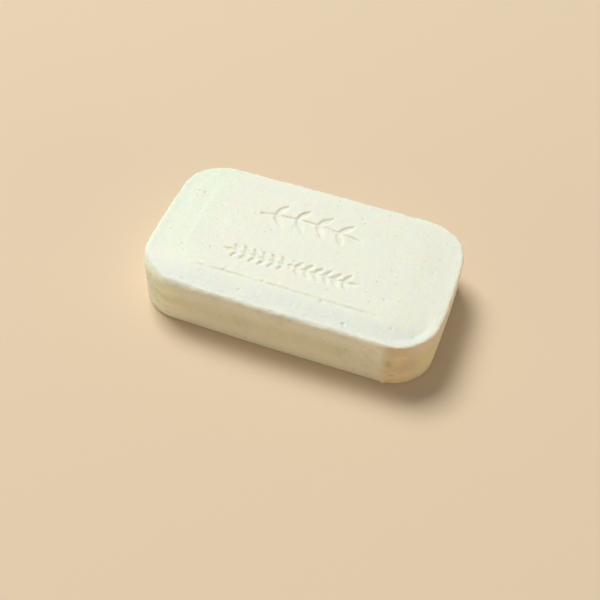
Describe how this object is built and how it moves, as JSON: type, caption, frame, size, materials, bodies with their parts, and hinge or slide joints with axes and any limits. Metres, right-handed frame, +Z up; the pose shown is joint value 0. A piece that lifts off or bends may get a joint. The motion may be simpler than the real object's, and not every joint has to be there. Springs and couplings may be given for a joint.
{
  "type": "bar of soap",
  "caption": "Pressed bar of toilet soap with rounded corners, a soft raised rim and a low centre panel stamped with a leaf pattern.",
  "frame": {"origin": "middle of the flat underside", "axes": "+X along the bar's length, +Z up out of the stamped face; the wider margin of the panel is towards -Y"},
  "size_m": [0.096, 0.0554, 0.0181],
  "materials": {
    "soap": "ivory white milled soap, satin, slightly translucent, with fine pits and scuffs"
  },
  "bodies": {
    "root": {"soap_bar": "soap"}
  },
  "joints": []
}
